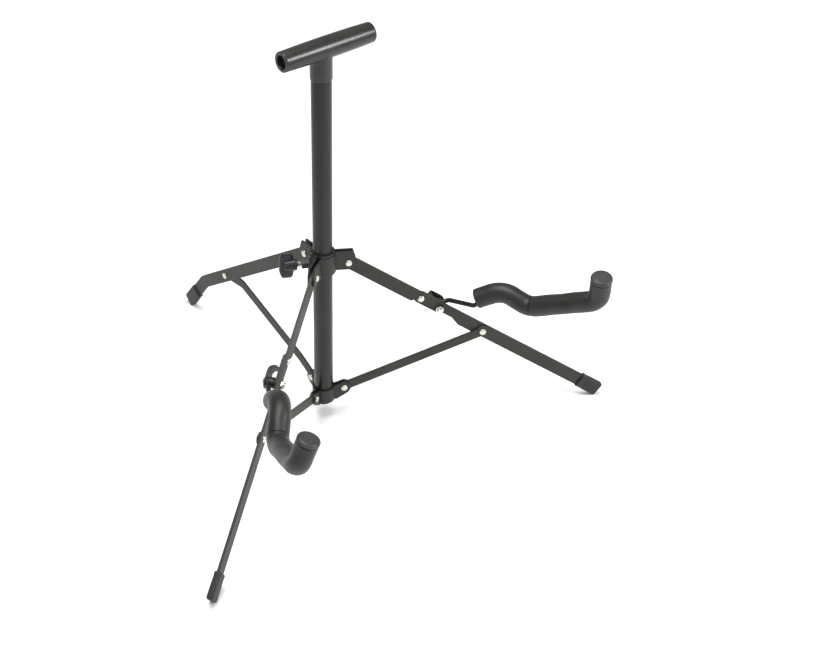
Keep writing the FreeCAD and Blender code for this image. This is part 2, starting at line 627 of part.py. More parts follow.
def yoke(side, leg):
    """Bracket, pivot bolt and padded arm of one front leg."""
    far = leg["far"]
    frame = leg_frame(leg)
    pivot = "Sizes.arm_pivot"
    # Sideways places: leg face, inner plate, gap for the eye, outer plate.
    inner = half_bar
    gap_low = "(%s + Sizes.bracket_sheet)" % inner
    gap_high = "(%s + Sizes.bracket_gap)" % gap_low
    outer = "(%s + Sizes.bracket_sheet)" % gap_high
    middle = "((%s + %s) / 2)" % (gap_low, gap_high)
    half = "(Sizes.bar_height / 2)"

    def across(x, z, radius, low, high):
        if far < 0:
            low, high = "-(%s)" % high, "-(%s)" % low
        return pin_across(x, z, radius, low, high)

    def plate(x, length, low, high):
        start = low if far > 0 else "-(%s)" % high
        return box(place(x, start, "-" + half), length, "(%s) - (%s)" % (high, low),
                   "Sizes.bar_height")

    tail = "(%s - Sizes.tail_rivet)" % pivot
    # The strip turns back on itself uphill of the pivot, round half a cylinder.
    turn_radius = "(Sizes.bracket_gap / 2 + Sizes.bracket_sheet)"
    turn_at = "(%s - Sizes.bracket_back + %s)" % (pivot, turn_radius)
    turn_y = "(%d * %s)" % (far, middle)
    turn_low = place(turn_at, turn_y, "-" + half)
    outside = rod(turn_low, turn_radius, "Sizes.bar_height")
    inside = rod(place(turn_at, turn_y, "-%s - 1" % half), "Sizes.bracket_gap / 2",
                 "Sizes.bar_height + 2")
    downhill = box(place(turn_at, "%s - 20" % turn_y, "-%s - 1" % half), "20", "40",
                   "Sizes.bar_height + 2")
    plates = [plate(tail, "Sizes.tail_rivet", inner, gap_low),
              plate(turn_at, "%s - %s" % (pivot, turn_at), gap_high, outer),
              cut(outside, inside, downhill),
              across(pivot, "0", half, inner, gap_low), across(pivot, "0", half, gap_high, outer),
              across(tail, "0", half, inner, gap_low)]
    holes = [across(pivot, "0", "Sizes.arm_bolt_radius", "0", "%s + 5" % outer),
             across(tail, "0", "Sizes.rivet_radius", "0", "%s + 1" % gap_low)]
    node("arm_bracket_" + side, cut(fuse(*plates), *holes), frame)

    bolt_end = "-(%s + Sizes.nut_thick + 1.6)" % inner
    head_end = "(%s + Sizes.bolt_head_thick)" % outer
    node("arm_bolt_" + side, fuse(across(pivot, "0", "Sizes.arm_bolt_radius", bolt_end, outer),
                                  across(pivot, "0", "Sizes.bolt_head_radius", outer, head_end)), frame)

    nut_low = "-(%s + Sizes.nut_thick)" % inner if far > 0 else inner
    hexagon = primitive("Prism", place(pivot, nut_low, roll="-90"),
                        Circumradius="Sizes.nut_across / 1.732", Height="Sizes.nut_thick")
    hexagon.Polygon = 6
    node("arm_nut_" + side, cut(hexagon, across(pivot, "0", "Sizes.arm_bolt_radius", "-10", "0")), frame)

    low, high = ("-" + inner, gap_low) if far > 0 else ("-" + gap_low, inner)
    node("tail_rivet_" + side, rivet(low, high, tail), frame)

    # The arm, in world millimetres about the post's axis.
    yaw = math.radians(number(leg["yaw"]))
    slope = math.radians(number("Sizes.front_slope"))
    along = number(pivot)
    reach = number("Sizes.hub_reach") + along * math.cos(slope)
    height = number("Sizes.hub_height") - along * math.sin(slope)
    outwards = Vector(math.cos(yaw), math.sin(yaw), 0)
    sideways = Vector(-math.sin(yaw), math.cos(yaw), 0) * far
    eye_side = number(middle) + far * number(leg_shift(leg))

    def point_at(out, sideways_by, up):
        return outwards * (reach + out) + sideways * sideways_by + Vector(0, 0, height + up)

    def spot(word):
        return point_at(*[number("Sizes.%s_%s_%s" % (side, word, way)) for way in ("out", "side", "up")])

    def bends(*words):
        return [number("Sizes." + word + "_bend") for word in words]

    points = {word: spot(word) for word in ("under", "end", "crest", "seam", "tip", "top")}
    eye_centre = point_at(0, eye_side, 0)
    neck = point_at(number("Sizes.neck_out"), eye_side, number("Sizes.neck_up"))
    cap_thick = number("Sizes.arm_cap_thick")
    up_the_tip = (points["top"] - points["tip"]).normalize()
    rod_end = points["top"] - up_the_tip * cap_thick
    rod_route = [eye_centre, neck] + [points[word] for word in ("under", "crest", "seam", "tip")] + [rod_end]
    rod_path = rounded_path(rod_route, bends("neck", "neck", "crest", "seam", "tip"))
    rod_shape = tube_along(rod_path, number("Sizes.rod_radius"))
    eye_thick = number("Sizes.eye_thick")
    eye = Part.makeCylinder(number("Sizes.eye_radius"), eye_thick,
                            eye_centre - sideways * (eye_thick / 2), sideways)
    hole = Part.makeCylinder(number("Sizes.arm_bolt_radius") + number("Sizes.rivet_gap"), eye_thick + 4,
                             eye_centre - sideways * (eye_thick / 2 + 2), sideways)
    eyed_rod = rod_shape.fuse(eye).removeSplitter().cut(hole)
    solid_node("arm_rod_" + side, eyed_rod)

    # Foam sleeves: one over the crest, one over the straight part and the upturned tip.
    foam_radius = number("Sizes.foam_radius")
    whole = rounded_path([points["end"], points["crest"], points["seam"], points["tip"], rod_end],
                         bends("crest", "seam", "tip"))
    edges = whole.Edges
    seam_arc = edges[3]
    arc_start, arc_end = seam_arc.FirstParameter, seam_arc.LastParameter
    split = arc_start + (arc_end - arc_start) * number("Sizes.%s_seam_share" % side)
    before = Part.ArcOfCircle(seam_arc.Curve, arc_start, split).toShape()
    after = Part.ArcOfCircle(seam_arc.Curve, split, arc_end).toShape()
    inner_sleeve = tube_along(Part.Wire(edges[:3] + [before]), foam_radius)
    outer_sleeve = tube_along(Part.Wire([after] + edges[4:]), foam_radius)
    solid_node("foam_inner_" + side, inner_sleeve.cut(eyed_rod))
    solid_node("foam_outer_" + side, outer_sleeve.cut(eyed_rod))

    cap = Part.makeCylinder(number("Sizes.arm_cap_radius"), cap_thick, rod_end, up_the_tip)
    rim = [edge for edge in cap.Edges if (edge.CenterOfMass - points["top"]).Length < 1e-3]
    solid_node("arm_cap_" + side, cap.makeFillet(number("Sizes.arm_cap_round"), rim))


upright()
upper_hub()
lower_hub()
clamp()
legs_and_braces()
yoke("right", legs["front_right"])
yoke("left", legs["front_left"])
doc.recompute()

# --- tests and files ----------------------------------------------------------

for item in doc.Objects:
    if "Invalid" in item.State or "Error" in item.State:
        raise RuntimeError("%s (%s) did not build" % (item.Name, item.Label))
for name, item in nodes.items():
    shape = item.Shape
    if shape.isNull() or not shape.isValid() or not shape.Solids:
        raise RuntimeError("%s has no valid solid" % name)
    shape.exportStep("parts/%s.step" % name)
print("%d sub-parts written" % len(nodes))
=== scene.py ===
import json
import math

import bmesh
import bpy
import numpy as np
from mathutils import Matrix, Vector


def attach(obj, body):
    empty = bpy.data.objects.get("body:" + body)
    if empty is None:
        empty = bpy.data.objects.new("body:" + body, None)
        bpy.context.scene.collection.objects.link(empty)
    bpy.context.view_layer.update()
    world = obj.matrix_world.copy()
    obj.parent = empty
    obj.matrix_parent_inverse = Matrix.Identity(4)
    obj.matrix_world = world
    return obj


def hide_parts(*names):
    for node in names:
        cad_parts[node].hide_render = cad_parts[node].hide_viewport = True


# Looks of a folding guitar stand: upright with a T-handle, sliding hub, three legs and two padded arms.
# +Z is up and the player stands at -Y. Sizes in the dictionaries are millimetres and degrees.
mm = 0.001

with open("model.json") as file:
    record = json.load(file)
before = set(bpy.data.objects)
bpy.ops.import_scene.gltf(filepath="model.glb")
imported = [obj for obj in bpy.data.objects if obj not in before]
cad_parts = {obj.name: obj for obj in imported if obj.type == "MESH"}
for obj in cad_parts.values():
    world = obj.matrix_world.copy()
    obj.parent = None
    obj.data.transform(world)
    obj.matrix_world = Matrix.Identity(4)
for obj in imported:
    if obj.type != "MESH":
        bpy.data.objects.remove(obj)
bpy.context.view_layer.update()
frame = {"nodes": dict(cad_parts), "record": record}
nodes = frame["nodes"]
print("frame loaded")

upright = {"setback": -20.4, "radius": 10.0, "bottom": 20.0, "top": 422.0, "wall": 1.5}
legTurns = {"front_right": -32.2, "front_left": -147.8, "rear": 90.0}
# sideways places of each leg's and each brace's middle plane, and the bracket's side of a leg
legPlanes = {"front_right": 2.14, "front_left": 0.0, "rear": 0.0}
bracePlanes = {"front_right": -0.71, "front_left": -2.85, "rear": -2.85}
bracketSides = {"front_right": 1, "front_left": -1}
bodyOf = {node: body for body, names in frame["record"]["behaviour"]["bodies"].items() for node in names}


def linear(code):
    # sRGB hex to linear light: a straight line in the darkest tones, a 2.4 power above them
    parts = np.array([int(code[i:i + 2], 16) for i in (0, 2, 4)]) / 255
    light = np.where(parts <= 0.04045, parts / 12.92, ((parts + 0.055) / 1.055) ** 2.4)
    return (*light.tolist(), 1.0)


def addNode(tree, kind, settings=None, **links):
    # one node: settings are its own properties or socket values, links are sockets that feed it
    node = tree.nodes.new(kind)
    for name, value in (settings or {}).items():
        if isinstance(name, int) or name in node.inputs:
            node.inputs[name].default_value = value
        else:
            setattr(node, name, value)
    for name, socket in links.items():
        key = int(name[1:]) if name[0] == "i" and name[1:].isdigit() else name.replace("_", " ")
        tree.links.new(socket, node.inputs[key])
    return node


def newMaterial(name, **values):
    # a Principled surface with its plain values set on the sockets
    material = bpy.data.materials.new(name)
    material.use_nodes = True
    tree = material.node_tree
    shader = tree.nodes["Principled BSDF"]
    for socket, value in values.items():
        shader.inputs[socket.replace("_", " ")].default_value = value
    where = addNode(tree, "ShaderNodeTexCoord").outputs["Object"]
    return material, tree, shader, where


def ramp(tree, source, low, high, start=0.35, end=0.65):
    # two colours spread over part of a pattern's range
    node = addNode(tree, "ShaderNodeValToRGB", Fac=source)
    node.color_ramp.elements[0].position = start
    node.color_ramp.elements[1].position = end
    node.color_ramp.elements[0].color = low
    node.color_ramp.elements[1].color = high
    return node.outputs["Color"]


def perMetre(size):
    # pattern scale for a feature of this many millimetres
    return 1.0 / (size * mm)


def powderCoat(name, dark, light, grain, roughness):
    # polyester powder coat baked on steel: satin black with a fine orange-peel skin and dusty patches
    material, tree, shader, where = newMaterial(name, IOR=1.5, Specular_IOR_Level=0.35)
    patches = addNode(tree, "ShaderNodeTexNoise", {"Scale": perMetre(38), "Detail": 3.0}, Vector=where)
    shade = ramp(tree, patches.outputs["Fac"], linear(dark), linear(light))
    # real grit is about 0.1 mm; it is drawn 0.5 mm or more so that it shows
    grit = addNode(tree, "ShaderNodeTexNoise", {"Scale": perMetre(grain), "Detail": 2.0}, Vector=where)
    fleck = addNode(tree, "ShaderNodeMapRange", {"From Min": 0.3, "From Max": 0.7, "To Min": 0.86,
                                                 "To Max": 1.14}, Value=grit.outputs["Fac"])
    speckled = addNode(tree, "ShaderNodeVectorMath", {"operation": "SCALE"}, i0=shade,
                       Scale=fleck.outputs["Result"])
    tree.links.new(speckled.outputs["Vector"], shader.inputs["Base Color"])
    dull = addNode(tree, "ShaderNodeMapRange", {"From Min": 0.3, "From Max": 0.7,
                                                "To Min": roughness - 0.07, "To Max": roughness + 0.08},
                   Value=patches.outputs["Fac"])
    tree.links.new(dull.outputs["Result"], shader.inputs["Roughness"])
    bump = addNode(tree, "ShaderNodeBump", {"Strength": 0.35, "Distance": 0.06 * mm},
                   Height=grit.outputs["Fac"])
    tree.links.new(bump.outputs["Normal"], shader.inputs["Normal"])
    return material


def zincPlate(name, tint, roughness):
    # bright zinc plate over cold-headed steel: a warm silver with cloudy passivation
    material, tree, shader, where = newMaterial(name, Metallic=1.0)
    clouds = addNode(tree, "ShaderNodeTexNoise", {"Scale": perMetre(2.2), "Detail": 4.0}, Vector=where)
    shade = ramp(tree, clouds.outputs["Fac"], linear(tint), linear("e6e4dc"), 0.3, 0.7)
    tree.links.new(shade, shader.inputs["Base Color"])
    dull = addNode(tree, "ShaderNodeMapRange", {"From Min": 0.3, "From Max": 0.7, "To Min": roughness - 0.08,
                                                "To Max": roughness + 0.1}, Value=clouds.outputs["Fac"])
    tree.links.new(dull.outputs["Result"], shader.inputs["Roughness"])
    bump = addNode(tree, "ShaderNodeBump", {"Strength": 0.15, "Distance": 0.03 * mm},
                   Height=clouds.outputs["Fac"])
    tree.links.new(bump.outputs["Normal"], shader.inputs["Normal"])
    return material


def foamRubber(name, dark, light):
    # extruded closed-cell nitrile foam with its smooth skin: matte charcoal, small cells just felt,
    # and a soft grey bloom where the light grazes it
    material, tree, shader, where = newMaterial(name, IOR=1.45, Roughness=0.46, Sheen_Weight=0.08,
                                                Sheen_Roughness=0.45, Specular_IOR_Level=0.45)
    shader.inputs["Sheen Tint"].default_value = linear("9aa3b0")
    cloud = addNode(tree, "ShaderNodeTexNoise", {"Scale": perMetre(22), "Detail": 4.0}, Vector=where)
    shade = ramp(tree, cloud.outputs["Fac"], linear(dark), linear(light))
    # cells are about 0.3 mm; drawn at 0.8 mm so that they show; each cell's centre, where the bump sinks a
    # pit, is darkened as painted shade
    cells = addNode(tree, "ShaderNodeTexVoronoi", {"Scale": perMetre(0.8)}, Vector=where)
    poreShade = addNode(tree, "ShaderNodeMapRange", {"From Min": 0.0, "From Max": 0.7, "To Min": 0.88,
                                                "To Max": 1.08}, Value=cells.outputs["Distance"])
    poreShaded = addNode(tree, "ShaderNodeVectorMath", {"operation": "SCALE"}, i0=shade,
                     Scale=poreShade.outputs["Result"])
    tree.links.new(poreShaded.outputs["Vector"], shader.inputs["Base Color"])
    skin = addNode(tree, "ShaderNodeTexNoise", {"Scale": perMetre(3.0), "Detail": 3.0}, Vector=where)
    height = addNode(tree, "ShaderNodeMath", {"operation": "ADD"}, i0=cells.outputs["Distance"],
                     i1=skin.outputs["Fac"])
    bump = addNode(tree, "ShaderNodeBump", {"Strength": 0.3, "Distance": 0.12 * mm},
                   Height=height.outputs["Value"])
    tree.links.new(bump.outputs["Normal"], shader.inputs["Normal"])
    return material


def moulded(name, dark, light, grain, roughness, depth=0.05):
    # injection-moulded plastic or rubber: an even colour with faint flow clouds and a spark-eroded grain
    material, tree, shader, where = newMaterial(name, IOR=1.49)
    flow = addNode(tree, "ShaderNodeTexNoise", {"Scale": perMetre(14), "Detail": 3.0, "Distortion": 0.6},
                   Vector=where)
    shade = ramp(tree, flow.outputs["Fac"], linear(dark), linear(light))
    tree.links.new(shade, shader.inputs["Base Color"])
    skin = addNode(tree, "ShaderNodeTexNoise", {"Scale": perMetre(grain), "Detail": 2.0}, Vector=where)
    dull = addNode(tree, "ShaderNodeMapRange", {"From Min": 0.3, "From Max": 0.7, "To Min": roughness - 0.05,
                                                "To Max": roughness + 0.07}, Value=skin.outputs["Fac"])
    tree.links.new(dull.outputs["Result"], shader.inputs["Roughness"])
    bump = addNode(tree, "ShaderNodeBump", {"Strength": 0.3, "Distance": depth * mm},
                   Height=skin.outputs["Fac"])
    tree.links.new(bump.outputs["Normal"], shader.inputs["Normal"])
    return material


finishes = {
    # satin black with a green cast and a fine grit
    "post_steel": powderCoat("powder-coated steel tube", "171a15", "1f221d", 0.6, 0.36),
    # flatter and a little warmer black, dusty in patches
    "leg_steel": powderCoat("powder-coated flat steel", "252620", "31322b", 0.7, 0.5),
    # even satin black on the bent plates
    "plate_steel": powderCoat("powder-coated pressed steel", "20211e", "2b2c28", 0.7, 0.45),
    # tighter, glossier black on bent strip
    "bracket_steel": powderCoat("powder-coated steel strip", "1a1b19", "252623", 0.6, 0.4),
    # near-black dip with a soft shine
    "rod_steel": powderCoat("black-dipped steel rod", "161716", "201f1e", 0.9, 0.36),
    # warm silver dots that stand out on the black
    "zinc_rivet": zincPlate("zinc-plated steel rivet", "bdb9a8", 0.3),
    # the same silver, slightly cooler and shinier
    "zinc_bolt": zincPlate("zinc-plated steel bolt", "b4b1a6", 0.26),
    # smooth black that carries one long bright band
    "handle_plastic": moulded("moulded polypropylene", "1a1a18", "242421", 0.8, 0.3),
    # dull dark grey, hardly seen
    "plug_plastic": moulded("moulded polyethylene", "1c1d1b", "252624", 0.8, 0.5),
    # slick black ring inside the hub
    "bushing_plastic": moulded("moulded nylon", "121313", "1a1b1b", 0.7, 0.35),
    # black with a faint blue cast
    "knob_plastic": moulded("moulded ABS", "0d1013", "171a1e", 0.8, 0.36),
    # matt green-black with grip rings
    "foot_rubber": moulded("moulded rubber", "121513", "1c201e", 0.9, 0.55, 0.08),
    # dark grey lid, smoother than the sleeve
    "cap_rubber": moulded("moulded vinyl", "252624", "323331", 0.9, 0.45, 0.06),
    # soft charcoal with a dull sheen on its crests
    "sleeve_foam": foamRubber("closed-cell foam", "191a17", "242521"),
}
slotOf = {part["node"]: part["material_slot"] for part in frame["record"]["subparts"]}
for name, node in nodes.items():
    node.data.materials.clear()
    node.data.materials.append(finishes[slotOf[name]])
print("materials made")


def unit(arrows):
    return arrows / np.linalg.norm(arrows, axis=-1, keepdims=True)


def finish(piece, node, sharp=40):
    # shading, material, body and the CAD node the piece stands for
    piece.data.materials.clear()
    piece.data.materials.append(finishes[slotOf[node]])
    piece.data.polygons.foreach_set("use_smooth", np.ones(len(piece.data.polygons), dtype=bool))
    piece.data.set_sharp_from_angle(angle=math.radians(sharp))
    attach(piece, bodyOf[node])
    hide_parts(node)
    return piece


def meshFrom(name, grids):
    # each grid is rows x columns x 3; neighbouring rows and columns make quads, and equal points are merged
    mesh = bpy.data.meshes.new(name)
    points, faces, start = [], [], 0
    for grid in grids:
        rows, columns = grid.shape[:2]
        index = np.arange(rows * columns).reshape(rows, columns) + start
        quads = [index[:-1, :-1], index[:-1, 1:], index[1:, 1:], index[1:, :-1]]
        faces.append(np.stack(quads, axis=-1).reshape(-1, 4))
        points.append(grid.reshape(-1, 3))
        start += rows * columns
    mesh.from_pydata(np.concatenate(points).tolist(), [], np.concatenate(faces).tolist())
    work = bmesh.new()
    work.from_mesh(mesh)
    bmesh.ops.remove_doubles(work, verts=work.verts, dist=0.004 * mm)
    bmesh.ops.dissolve_degenerate(work, edges=work.edges, dist=0.001 * mm)
    bmesh.ops.recalc_face_normals(work, faces=work.faces)
    work.to_mesh(mesh)
    work.free()
    piece = bpy.data.objects.new(name, mesh)
    bpy.context.collection.objects.link(piece)
    return piece


def legSpace(leg):
    # outward, sideways and upward directions of a leg's upright plane
    turn = math.radians(legTurns[leg])
    return np.array([[math.cos(turn), math.sin(turn), 0], [-math.sin(turn), math.cos(turn), 0], [0, 0, 1]])


def legPoint(leg, out, side, up):
    # a point given outwards, sideways and upwards from the upright's foot
    place = (np.array([out, side, up]) * mm) @ legSpace(leg)
    return place + [0, upright["setback"] * mm, 0]


def turnedGrid(profile, origin, axis, across, steps=64):
    # surface of revolution: origin + axis * along + radius * (across cos turn + third sin turn)
    profile = np.array(profile) * mm
    axis, across = unit(np.array(axis, float)), np.array(across, float)
    across = unit(across - axis * (across @ axis))
    third = np.cross(axis, across)
    turn = np.linspace(0, 2 * math.pi, steps + 1)
    ring = np.outer(np.cos(turn), across) + np.outer(np.sin(turn), third)
    return origin + profile[:, None, :1] * axis + profile[:, None, 1:2] * ring[None]


def softened(corners, radius, steps=5):
    # a profile whose inner corners are cut by quadratic curves of about this radius
    corners = np.array(corners, float)
    path = [corners[:1]]
    fade = np.linspace(0, 1, steps)[:, None]
    for before, corner, after in zip(corners[:-2], corners[1:-1], corners[2:]):
        reach = min(radius, np.linalg.norm(before - corner) / 2, np.linalg.norm(after - corner) / 2)
        start = corner + unit(before - corner) * reach
        end = corner + unit(after - corner) * reach
        path.append((1 - fade) ** 2 * start + 2 * fade * (1 - fade) * corner + fade ** 2 * end)
    path.append(corners[-1:])
    return np.concatenate(path)


def bentRoute(corners, bends, spacing=0.5):
    # straight runs joined by arcs that touch both, resampled at even steps; gives points and lengths
    corners = np.array(corners, float)
    runs = [corners[:1]]
    for before, corner, after, bend in zip(corners[:-2], corners[1:-1], corners[2:], bends):
        back, ahead = unit(before - corner), unit(after - corner)
        half = (math.pi - math.acos(back @ ahead)) / 2
        start = corner + back * bend * math.tan(half)
        centre = corner + unit(back + ahead) * bend / math.cos(half)
        turn = np.linspace(0, 2 * half, 24)[:, None]
        runs.append(centre + (start - centre) * np.cos(turn) - back * bend * np.sin(turn))
    runs.append(corners[-1:])
    path = np.concatenate(runs)
    length = np.concatenate([[0], np.cumsum(np.linalg.norm(np.diff(path, axis=0), axis=1))])
    even = np.linspace(0, length[-1], int(length[-1] / spacing) + 2)
    return np.stack([np.interp(even, length, path[:, k]) for k in range(3)], axis=-1), even


handle = {"height": 431.0, "left": -45.5, "right": 58.4, "endRadius": 9.9, "midRadius": 10.7,
          "recess": 6.6, "depth": 7.0, "rim": 0.9, "stemRadius": 10.8, "stemDrop": 30.0,
          "socket": 21.0, "stemFlare": 0.9, "stemTuck": 0.6, "seam": 0.1}


def buildHandle():
    # barrel: radius = end + (mid - end)(1 - x^2) along its length, with a blind hole in each end
    spread = np.linspace(-1, 1, 61)
    crown = handle["endRadius"] + (handle["midRadius"] - handle["endRadius"]) * (1 - spread ** 2)
    middle = (handle["left"] + handle["right"]) / 2
    half = (handle["right"] - handle["left"]) / 2
    along = middle + half * spread
    left, right = handle["left"], handle["right"]
    leftEnd = softened([(left + handle["depth"], 0), (left + handle["depth"], handle["recess"] - 0.4),
                        (left, handle["recess"]), (left, handle["endRadius"]),
                        (left + 3, crown[1] + 0.02)], handle["rim"])
    outer = np.stack([along, crown], axis=-1)[3:-3]
    rightEnd = leftEnd[::-1] * [-1, 1] + [left + right, 0]
    profile = np.concatenate([leftEnd, outer, rightEnd])
    origin = np.array([0, upright["setback"], handle["height"]]) * mm
    barrel = turnedGrid(profile, origin, (1, 0, 0), (0, 0, 1), 120)
    # the mould's parting line is a fine ridge along the front and the back
    arms = barrel - origin - profile[:, None, :1] * mm * np.array([1, 0, 0])
    turn = np.arctan2(arms[..., 2], np.abs(arms[..., 1]))
    ridge = np.exp(-(turn / 0.04) ** 2) * handle["seam"] * mm
    onSkin = (profile[:, None, 1] > handle["endRadius"] - 0.1)
    barrel = barrel + unit(arms + 1e-12) * (ridge * onSkin)[..., None]

    # stem: a straight tube whose top follows the barrel's underside and flares out to meet it
    turn = np.linspace(0, 2 * math.pi, 97)
    rise = np.linspace(0, 1, 12)[:, None]
    flare = handle["stemRadius"] + handle["stemFlare"] * rise ** 3
    x = flare * np.cos(turn)
    y = (handle["stemRadius"] - handle["stemTuck"] * rise) * np.sin(turn)
    buried = handle["midRadius"] - 0.25
    top = -np.sqrt(buried ** 2 - np.minimum(np.abs(y), buried) ** 2)
    lowest = -handle["stemDrop"]
    start = -buried - 4.5
    wall = np.stack([x, y, start + (top - start) * rise], axis=-1)
    lip = softened([(lowest, upright["radius"] + 0.02), (lowest, handle["stemRadius"] - 0.02),
                    (lowest + 2, handle["stemRadius"])], 0.6)
    collar = np.stack([lip[:, 1:] * np.cos(turn), lip[:, 1:] * np.sin(turn),
                       lip[:, :1] + 0 * turn], axis=-1)
    inside = np.stack([upright["radius"] * np.cos(turn), upright["radius"] * np.sin(turn),
                       np.full_like(turn, lowest + handle["socket"])], axis=-1)[None]
    core = inside * [0, 0, 1]
    lid = np.stack([0 * turn, 0 * turn, np.full_like(turn, -2.0)], axis=-1)[None]
    stem = np.concatenate([core, inside, collar, wall, lid]) * mm + origin
    return finish(meshFrom("barrel_handle", [barrel, stem]), "t_handle", 50)


def buildPost():
    # tube wall turned about the upright, with its sawn ends just broken
    outer, inner = upright["radius"], upright["radius"] - upright["wall"]
    low, high = upright["bottom"], upright["top"]
    profile = softened([(low, inner + 0.5), (low, outer), (high, outer), (high, inner), (low, inner),
                        (low, inner + 0.5)], 0.3)
    grid = turnedGrid(profile, np.array([0, upright["setback"], 0]) * mm, (0, 0, 1), (1, 0, 0), 96)
    return finish(meshFrom("steel_tube", [grid]), "post_tube", 50)


buildHandle()
buildPost()
print("upright built")


def eased(node, width):
    # the CAD piece with its facets joined into whole faces and its edges rolled over
    mesh = nodes[node].data.copy()
    work = bmesh.new()
    work.from_mesh(mesh)
    bmesh.ops.remove_doubles(work, verts=work.verts, dist=0.002 * mm)
    bmesh.ops.dissolve_limit(work, angle_limit=math.radians(0.5), verts=work.verts, edges=work.edges)
    work.to_mesh(mesh)
    work.free()
    piece = bpy.data.objects.new("eased_" + node, mesh)
    bpy.context.collection.objects.link(piece)
    bevel = piece.modifiers.new("rolled edge", "BEVEL")
    bevel.width = width * mm
    bevel.segments = 3
    bevel.limit_method = "ANGLE"
    bevel.angle_limit = math.radians(35)
    bevel.use_clamp_overlap = True
    bevel.harden_normals = True
    return finish(piece, node, 30)


edges = {"leg_front_right": 0.55, "leg_front_left": 0.55, "leg_rear": 0.55, "brace_front_right": 0.5,
         "brace_front_left": 0.5, "brace_rear": 0.5, "hub_plate_front": 0.4, "hub_plate_left": 0.4,
         "hub_plate_right": 0.4, "base_plate_front": 0.4, "base_plate_left": 0.4, "base_plate_right": 0.4,
         "arm_bracket_right": 0.45, "arm_bracket_left": 0.45, "hub_bushing": 0.5, "post_plug": 0.6,
         "clamp_nut": 0.5, "arm_nut_right": 0.45, "arm_nut_left": 0.45, "arm_rod_right": 0.4,
         "arm_rod_left": 0.4}
for node, width in edges.items():
    eased(node, width)
print("plates and bars eased")


rivet = {"radius": 3.6, "dome": 1.7, "edge": 0.35}
hubRivet = {"out": 26.3, "up": 193.4, "half": 3.7}
baseRivet = {"out": 21.7, "up": 34.5, "half": 3.45}
midRivets = {"front_right": (169.14, 96.69), "front_left": (169.14, 96.69), "rear": (181.57, 81.83)}
midSides = {"low": -4.3, "high": 1.4}
bolt = {"out": 122.03, "up": 128.59, "head": 14.6, "radius": 4.3, "dome": 3.1, "shank": 2.5,
        "low": 3.4, "high": 14.8, "nut": 4.7, "end": 1.6, "crossReach": 2.4, "crossDepth": 1.3,
        "crossHalf": 0.62, "crossWall": 0.3, "crossEnd": 0.8}
tailRivet = {"out": 102.15, "up": 142.05, "low": -1.4, "high": 3.6}


def dome(origin, axis, radius, height, edge, steps=40):
    # rivet head: radius * cos, height * sin over a quarter turn, above a short straight rim
    swing = np.linspace(0, math.pi / 2, 12)
    cap = np.stack([edge + (height - edge) * np.sin(swing), radius * np.cos(swing) ** 0.75], axis=-1)
    profile = np.concatenate([[(0, 0), (0, radius * 0.97), (edge * 0.5, radius)], cap])
    return turnedGrid(profile, origin, axis, (0, 0, 1), steps)


def rivetPair(name, node, leg, out, up, low, high):
    side = legSpace(leg)[1]
    heads = [dome(legPoint(leg, out, offset, up), side * sign, rivet["radius"], rivet["dome"], rivet["edge"])
             for offset, sign in ((low, -1), (high, 1))]
    return finish(meshFrom(name, heads), node)


for leg, plane in legPlanes.items():
    rivetPair("rivet_hub_" + leg, "hub_rivet_" + leg, leg, hubRivet["out"], hubRivet["up"],
              plane - hubRivet["half"], plane + hubRivet["half"])
    middle = bracePlanes[leg]
    rivetPair("rivet_base_" + leg, "base_rivet_" + leg, leg, baseRivet["out"], baseRivet["up"],
              middle - baseRivet["half"], middle + baseRivet["half"])
    rivetPair("rivet_mid_" + leg, "mid_rivet_" + leg, leg, *midRivets[leg],
              plane + midSides["low"], plane + midSides["high"])


def panHead(origin, axis):
    # domed screw head with a cross sunk in it: depth fades out where |x| or |y| passes the slot's half width
    rings = np.linspace(0, 1, 40)[:, None]
    turn = np.linspace(0, 2 * math.pi, 97)[None]
    x = bolt["radius"] * rings * np.cos(turn)
    y = bolt["radius"] * rings * np.sin(turn)
    top = bolt["dome"] * (1 - rings ** 4) ** 0.5 + 0 * turn
    slot = np.minimum(np.abs(x), np.abs(y))
    reach = np.clip((bolt["crossReach"] - np.hypot(x, y)) / bolt["crossEnd"], 0, 1)
    sunk = bolt["crossDepth"] * reach * np.clip((bolt["crossHalf"] - slot) / bolt["crossWall"], 0, 1)
    axis = unit(axis)
    up = np.array([0, 0, 1.0])
    across = np.cross(up, axis)
    crown = origin + mm * ((top - sunk)[..., None] * axis + x[..., None] * across + y[..., None] * up)
    base = origin + 0 * crown[:1]
    return np.concatenate([crown, base])


for side, leg in (("right", "front_right"), ("left", "front_left")):
    far, plane = bracketSides[leg], legPlanes[leg]
    out = legSpace(leg)[1] * far

    def onBolt(offset):
        return legPoint(leg, bolt["out"], plane + far * offset, bolt["up"])

    shank = [(bolt["low"], 0), (bolt["low"], bolt["shank"]),
             (bolt["high"], bolt["shank"]), (bolt["high"], 0)]
    tip = softened([(0, 0), (0, bolt["shank"]), (bolt["end"], bolt["shank"]), (bolt["end"] + 0.2, 0)], 0.7)
    grids = [panHead(onBolt(bolt["head"]), out),
             turnedGrid(shank, onBolt(0), out, (0, 0, 1), 40),
             turnedGrid(tip, onBolt(-bolt["nut"]), -out, (0, 0, 1), 40)]
    finish(meshFrom("bolt_pivot_" + side, grids), "arm_bolt_" + side)
    sides = sorted((far * tailRivet["low"], far * tailRivet["high"]))
    rivetPair("rivet_tail_" + side, "tail_rivet_" + side, leg, tailRivet["out"], tailRivet["up"],
              plane + sides[0], plane + sides[1])
print("rivets and bolts built")


